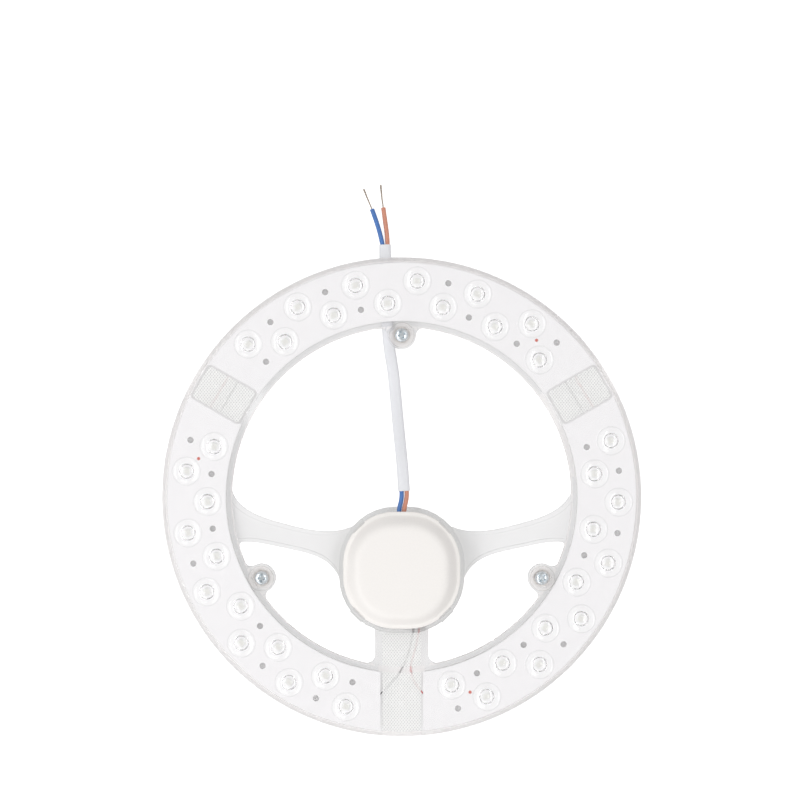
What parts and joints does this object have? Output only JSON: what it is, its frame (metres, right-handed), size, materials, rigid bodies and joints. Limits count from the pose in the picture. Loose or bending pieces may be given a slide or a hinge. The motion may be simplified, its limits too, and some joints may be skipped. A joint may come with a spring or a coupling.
{
  "type": "led ring module",
  "caption": "Flat clear ring with rows of small lenses over curved LED boards, two arms and a spoke to a hub with a cream driver cap, magnet feet and a flat mains lead with bare cores",
  "frame": {"origin": "on the axis of the ring, in the plane of the magnet feet", "axes": "+Z points out of the lens side, +Y to the side where the mains lead leaves, +X to the right seen from the lens side"},
  "size_m": [0.22, 0.254, 0.0214],
  "materials": {
    "clear_acrylic": "clear moulded acrylic, polished",
    "board_white": "white solder mask",
    "led_phosphor": "yellow phosphor gel",
    "cap_cream": "moulded, satin",
    "screw_steel": "zinc plated",
    "magnet_nickel": "nickel plated",
    "cord_white": "soft white jacket",
    "core_blue": "soft blue insulation",
    "core_brown": "soft brown insulation",
    "bare_copper": "tinned copper strands",
    "driver_laminate": "bare laminate",
    "ferrite": "pressed ferrite",
    "winding_tape": "yellow tape",
    "can_aluminium": "can in a dark sleeve",
    "film_box": "moulded box",
    "choke_sleeve": "heat-shrink sleeve",
    "chip_black": "moulded package",
    "resistor_green": "lacquered",
    "lead_red": "soft insulation",
    "lead_black": "soft insulation"
  },
  "bodies": {
    "root": {"lens_cover": "clear_acrylic", "led_board_top": "board_white", "led_board_left": "board_white", "led_board_right": "board_white", "leds_top": "led_phosphor", "leds_left": "led_phosphor", "leds_right": "led_phosphor", "driver_cover": "cap_cream", "mounting_screws": "screw_steel", "mounting_magnets": "magnet_nickel", "driver_board": "driver_laminate", "transformer_core": "ferrite", "transformer_winding": "winding_tape", "input_capacitor": "can_aluminium", "output_capacitor": "can_aluminium", "choke": "choke_sleeve", "bridge_rectifier": "chip_black", "fuse_resistor": "resistor_green", "driver_chip": "chip_black", "suppression_capacitor": "film_box", "link_lead_red_left": "lead_red", "link_lead_black_left": "lead_black", "link_lead_red_right": "lead_red", "link_lead_black_right": "lead_black", "driver_lead_red": "lead_red", "driver_lead_black": "lead_black", "cable_sheath": "cord_white", "core_blue_hub": "core_blue", "core_brown_hub": "core_brown", "core_blue_end": "core_blue", "core_brown_end": "core_brown", "strands_blue": "bare_copper", "strands_brown": "bare_copper"}
  },
  "joints": []
}
